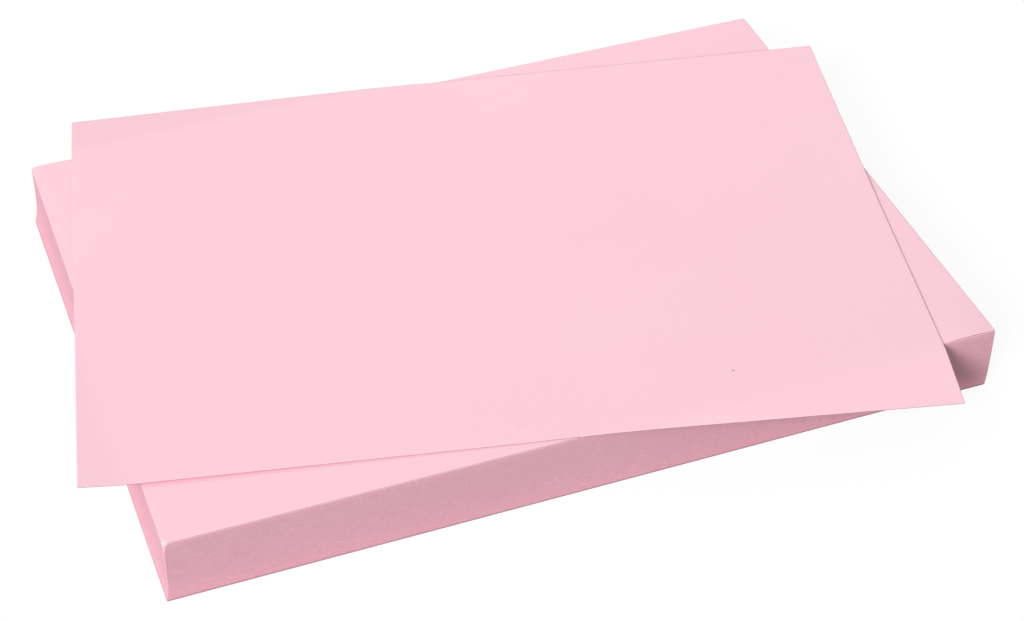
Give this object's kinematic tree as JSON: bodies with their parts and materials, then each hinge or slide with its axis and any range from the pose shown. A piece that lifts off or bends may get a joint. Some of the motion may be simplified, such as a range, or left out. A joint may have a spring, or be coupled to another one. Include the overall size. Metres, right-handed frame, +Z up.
{
  "type": "pack of cardstock",
  "caption": "Squared pack of plain pale pink card sheets, with one more sheet lying turned on top of it.",
  "frame": {"origin": "middle of the lowest sheet's underside, on the surface that the pack lies on", "axes": "+X along the sheets' long side to the right, +Y from the front long edge to the back one, +Z up"},
  "size_m": [0.333, 0.265, 0.026],
  "materials": {
    "cardstock": "matt uncoated pale pink card"
  },
  "bodies": {
    "root": {"loose_sheet": "cardstock", "sheets_01_02": "cardstock", "sheets_03_04": "cardstock", "sheets_05_06": "cardstock", "sheets_07_08": "cardstock", "sheets_09_10": "cardstock", "sheets_11_12": "cardstock", "sheets_13_14": "cardstock", "sheets_15_16": "cardstock", "sheets_17_18": "cardstock", "sheets_19_20": "cardstock", "sheets_21_22": "cardstock", "sheets_23_24": "cardstock", "sheets_25_26": "cardstock", "sheets_27_28": "cardstock", "sheets_29_30": "cardstock", "sheets_31_32": "cardstock", "sheets_33_34": "cardstock", "sheets_35_36": "cardstock", "sheets_37_38": "cardstock", "sheets_39_40": "cardstock", "sheets_41_42": "cardstock", "sheets_43_44": "cardstock", "sheets_45_46": "cardstock", "sheets_47_48": "cardstock", "sheets_49_50": "cardstock", "sheets_51_52": "cardstock", "sheets_53_54": "cardstock", "sheets_55_56": "cardstock", "sheets_57_58": "cardstock", "sheets_59_60": "cardstock", "sheets_61_62": "cardstock", "sheets_63_64": "cardstock", "sheets_65_66": "cardstock", "sheets_67_68": "cardstock", "sheets_69_70": "cardstock", "sheets_71_72": "cardstock", "sheets_73_74": "cardstock", "sheets_75_76": "cardstock", "sheets_77_78": "cardstock", "sheets_79_80": "cardstock", "sheets_81_82": "cardstock", "sheets_83_84": "cardstock", "sheets_85_86": "cardstock", "sheets_87_88": "cardstock", "sheets_89_90": "cardstock", "top_sheet_1": "cardstock", "top_sheet_2": "cardstock", "top_sheet_3": "cardstock", "top_sheet_4": "cardstock", "top_sheet_5": "cardstock", "top_sheet_6": "cardstock", "top_sheet_7": "cardstock", "top_sheet_8": "cardstock", "top_sheet_9": "cardstock"}
  },
  "joints": []
}
